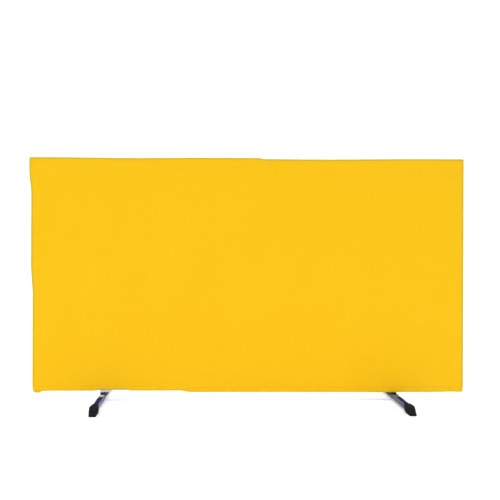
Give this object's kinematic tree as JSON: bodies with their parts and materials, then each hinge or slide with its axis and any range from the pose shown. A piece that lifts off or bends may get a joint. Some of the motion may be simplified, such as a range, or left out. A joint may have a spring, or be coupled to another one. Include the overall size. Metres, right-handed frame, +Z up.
{
  "type": "table tennis barrier",
  "caption": "Low rectangular court barrier: a yellow cloth sleeve over a square tube frame on swivelling feet with black rubber shoes, which fold flat under the bottom rail.",
  "frame": {"origin": "on the floor, under the middle of the panel, midway between the feet", "axes": "+Z up, +X along the panel to the viewer's right, -Y towards the front of the panel"},
  "size_m": [1.4022, 0.4, 0.7861],
  "materials": {
    "cover_cloth": "coated woven cloth, satin, sewn along its edges",
    "hook_and_loop": "hook and loop pile",
    "grey_steel": "glossy blue-grey enamel",
    "shoe_rubber": "moulded, matt",
    "zinc": "bright zinc plate",
    "nylon": "moulded natural white nylon",
    "yellow_plastic": "moulded, fine grain",
    "black_plastic": "moulded"
  },
  "bodies": {
    "panel": {"top_rail": "grey_steel", "bottom_rail": "grey_steel", "left_upright": "grey_steel", "right_upright": "grey_steel", "bottom_left_corner": "yellow_plastic", "bottom_right_corner": "yellow_plastic", "top_left_corner": "black_plastic", "top_right_corner": "black_plastic", "top_rail_left_screw": "zinc", "top_rail_right_screw": "zinc", "bottom_rail_left_screw": "zinc", "bottom_rail_right_screw": "zinc", "left_upright_top_screw": "zinc", "left_upright_bottom_screw": "zinc", "right_upright_top_screw": "zinc", "right_upright_bottom_screw": "zinc", "cover_front": "cover_cloth", "cover_back": "cover_cloth", "top_band": "cover_cloth", "left_side_band": "cover_cloth", "right_side_band": "cover_cloth", "left_hook_tape": "hook_and_loop", "left_loop_tape": "hook_and_loop", "middle_hook_tape": "hook_and_loop", "middle_loop_tape": "hook_and_loop", "right_hook_tape": "hook_and_loop", "right_loop_tape": "hook_and_loop", "left_pivot_spacer": "nylon", "left_rail_sleeve": "zinc", "left_pivot_washer": "zinc", "left_pivot_nut": "zinc", "left_pivot_bolt": "zinc", "right_pivot_spacer": "nylon", "right_rail_sleeve": "zinc", "right_pivot_washer": "zinc", "right_pivot_nut": "zinc", "right_pivot_bolt": "zinc"},
    "left_foot": {"left_foot_arm": "grey_steel", "left_arm_bush": "zinc", "left_front_shoe": "shoe_rubber", "left_rear_shoe": "shoe_rubber"},
    "right_foot": {"right_foot_arm": "grey_steel", "right_arm_bush": "zinc", "right_front_shoe": "shoe_rubber", "right_rear_shoe": "shoe_rubber"}
  },
  "joints": [
    {"name": "left_foot_swivel", "type": "hinge", "parent": "panel", "child": "left_foot", "pos_m": [-0.476, 0, 0.0138], "axis": [0, 0, 1], "range_deg": [-90, 90]},
    {"name": "right_foot_swivel", "type": "hinge", "parent": "panel", "child": "right_foot", "pos_m": [0.476, 0, 0.0138], "axis": [0, 0, 1], "range_deg": [-90, 90]}
  ]
}
